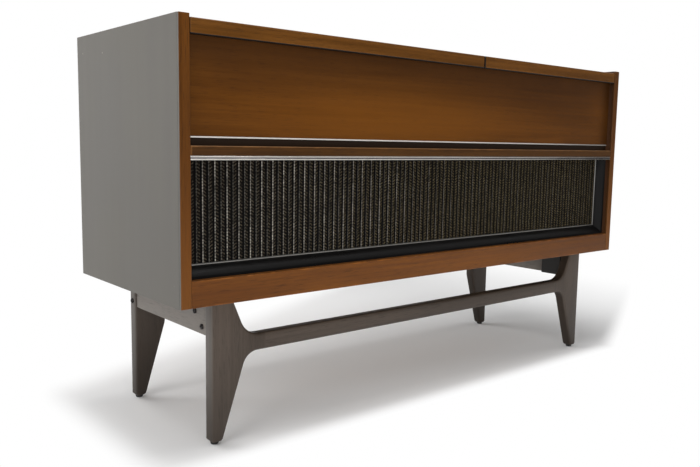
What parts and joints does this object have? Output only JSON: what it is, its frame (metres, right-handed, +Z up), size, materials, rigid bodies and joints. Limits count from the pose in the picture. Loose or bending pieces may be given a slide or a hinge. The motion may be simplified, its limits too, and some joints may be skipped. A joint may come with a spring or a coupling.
{
  "type": "stereo console",
  "caption": "Low stereo console: walnut front with cloth grille, grey sides, two hinged lids over tape deck, tuner and record changer, on an open leg frame with a front stretcher.",
  "frame": {"origin": "on the floor under the centre of the cabinet", "axes": "+X to the right across the front, +Y from front to back, +Z up"},
  "size_m": [1.4, 0.47, 0.81],
  "materials": {
    "grey_lacquer_wood": "grey-stained veneer, satin lacquer",
    "walnut": "walnut veneer, gloss lacquer",
    "leg_wood": "grey-brown stained hardwood, satin",
    "raw_board": "unfinished board",
    "black_wood": "black paint on wood",
    "trim_metal": "polished aluminium",
    "cloth": "woven grille cloth with metallic threads",
    "dark_metal": "dark enamelled steel",
    "steel": "plated steel",
    "paper": "pulp cone",
    "glass": "clear glass",
    "hardboard": "hardboard",
    "brass": "brass plate",
    "plate_enamel": "satin enamel",
    "dark_panel": "black crackle enamel",
    "clear_plastic": "clear polystyrene reel",
    "ivory": "ivory plastic",
    "red": "red plastic",
    "rubber": "black rubber",
    "cover_metal": "satin aluminium"
  },
  "bodies": {
    "cabinet": {"side_panel_left": "grey_lacquer_wood", "side_panel_right": "grey_lacquer_wood", "front_lippings": "walnut", "bottom_panel": "raw_board", "bottom_rail": "walnut", "mid_rail": "walnut", "upper_front_panel": "walnut", "panel_trim_strip": "trim_metal", "grille_top_trim": "trim_metal", "grille_frame": "black_wood", "grille_bead": "trim_metal", "grille_cloth": "cloth", "speaker_baffle": "black_wood", "woofer_frames": "dark_metal", "woofer_cones": "paper", "tweeters": "dark_metal", "back_panel": "hardboard", "back_screws": "steel", "rear_top_rail": "walnut", "bay_divider": "walnut", "deck_board_left": "walnut", "deck_board_right": "walnut", "receiver_chassis": "steel", "receiver_tubes": "glass", "drive_motors": "dark_metal", "front_leg_frame": "leg_wood", "rear_legs": "leg_wood", "side_aprons": "grey_lacquer_wood", "corner_blocks": "black_wood", "frame_bolts": "dark_metal", "foot_glides": "rubber", "hinge_leaves_fixed": "brass", "stay_guide_screws": "brass", "tape_deck_plate": "plate_enamel", "head_cover": "cover_metal", "tuner_panel": "dark_panel", "dial_glass": "glass", "changer_base": "plate_enamel", "spindle": "steel"},
    "left_lid": {"lid_left": "walnut", "hinge_leaves_left": "brass", "quadrant_stay_left": "brass"},
    "right_lid": {"lid_right": "walnut", "hinge_leaves_right": "brass", "quadrant_stay_right": "brass"},
    "supply_reel": {"supply_reel": "clear_plastic"},
    "takeup_reel": {"takeup_reel": "clear_plastic"},
    "key_rewind": {"key_rewind": "ivory"},
    "key_stop": {"key_stop": "ivory"},
    "key_play": {"key_play": "ivory"},
    "key_record": {"key_record": "red"},
    "dial_pointer": {"dial_pointer": "red"},
    "tuning_knob": {"tuning_knob": "ivory"},
    "volume_knob": {"volume_knob": "ivory"},
    "tone_knob": {"tone_knob": "ivory"},
    "selector_knob": {"selector_knob": "ivory"},
    "platter": {"platter": "dark_metal"},
    "arm_yoke": {"arm_yoke": "plate_enamel"},
    "tone_arm": {"tone_arm": "steel"},
    "changer_knob": {"changer_knob": "ivory"}
  },
  "joints": [
    {"name": "left_lid_hinge", "type": "hinge", "parent": "cabinet", "child": "left_lid", "pos_m": [-0.287, 0.1634, 0.8068], "axis": [-1, 0, 0], "range_deg": [0, 75]},
    {"name": "right_lid_hinge", "type": "hinge", "parent": "cabinet", "child": "right_lid", "pos_m": [0.391, 0.1634, 0.8068], "axis": [-1, 0, 0], "range_deg": [0, 75]},
    {"name": "supply_reel_spin", "type": "hinge", "parent": "cabinet", "child": "supply_reel", "pos_m": [-0.558, 0.05, 0.661], "axis": [0, 0, 1], "continuous": true},
    {"name": "takeup_reel_spin", "type": "hinge", "parent": "cabinet", "child": "takeup_reel", "pos_m": [-0.37, 0.05, 0.661], "axis": [0, 0, 1], "continuous": true},
    {"name": "key_rewind_press", "type": "slide", "parent": "cabinet", "child": "key_rewind", "axis": [0, 0, -1], "range_m": [0, 0.005], "stiffness_N_per_m": 300, "springref_m": -0.003},
    {"name": "key_stop_press", "type": "slide", "parent": "cabinet", "child": "key_stop", "axis": [0, 0, -1], "range_m": [0, 0.005], "stiffness_N_per_m": 300, "springref_m": -0.003},
    {"name": "key_play_press", "type": "slide", "parent": "cabinet", "child": "key_play", "axis": [0, 0, -1], "range_m": [0, 0.005], "stiffness_N_per_m": 300, "springref_m": -0.003},
    {"name": "key_record_press", "type": "slide", "parent": "cabinet", "child": "key_record", "axis": [0, 0, -1], "range_m": [0, 0.005], "stiffness_N_per_m": 300, "springref_m": -0.003},
    {"name": "volume_turn", "type": "hinge", "parent": "cabinet", "child": "volume_knob", "pos_m": [-0.206, -0.098, 0.664], "axis": [0, 0, -1], "range_deg": [-150, 150]},
    {"name": "tone_turn", "type": "hinge", "parent": "cabinet", "child": "tone_knob", "pos_m": [-0.13, -0.098, 0.664], "axis": [0, 0, -1], "range_deg": [-150, 150]},
    {"name": "selector_turn", "type": "hinge", "parent": "cabinet", "child": "selector_knob", "pos_m": [-0.054, -0.098, 0.664], "axis": [0, 0, -1], "range_deg": [-60, 60]},
    {"name": "tuning_turn", "type": "hinge", "parent": "cabinet", "child": "tuning_knob", "pos_m": [0.022, -0.098, 0.664], "axis": [0, 0, -1], "range_deg": [-720, 720]},
    {"name": "pointer_travel", "type": "slide", "parent": "cabinet", "child": "dial_pointer", "axis": [1, 0, 0], "range_m": [-0.105, 0.105]},
    {"name": "platter_spin", "type": "hinge", "parent": "cabinet", "child": "platter", "pos_m": [0.297, -0.017, 0.67], "axis": [0, 0, -1], "continuous": true},
    {"name": "arm_swing", "type": "hinge", "parent": "cabinet", "child": "arm_yoke", "pos_m": [0.487, 0.086, 0.67], "axis": [0, 0, -1], "range_deg": [0, 47]},
    {"name": "arm_lift", "type": "hinge", "parent": "arm_yoke", "child": "tone_arm", "pos_m": [0.487, 0.086, 0.6993], "axis": [-1, 0, 0], "range_deg": [0, 12]},
    {"name": "changer_knob_turn", "type": "hinge", "parent": "cabinet", "child": "changer_knob", "pos_m": [0.163, -0.152, 0.661], "axis": [0, 0, -1], "range_deg": [-60, 60]}
  ],
  "couplings": [
    {"joint": "pointer_travel", "follows": "tuning_turn", "m_per_rad": 0.00835}
  ]
}
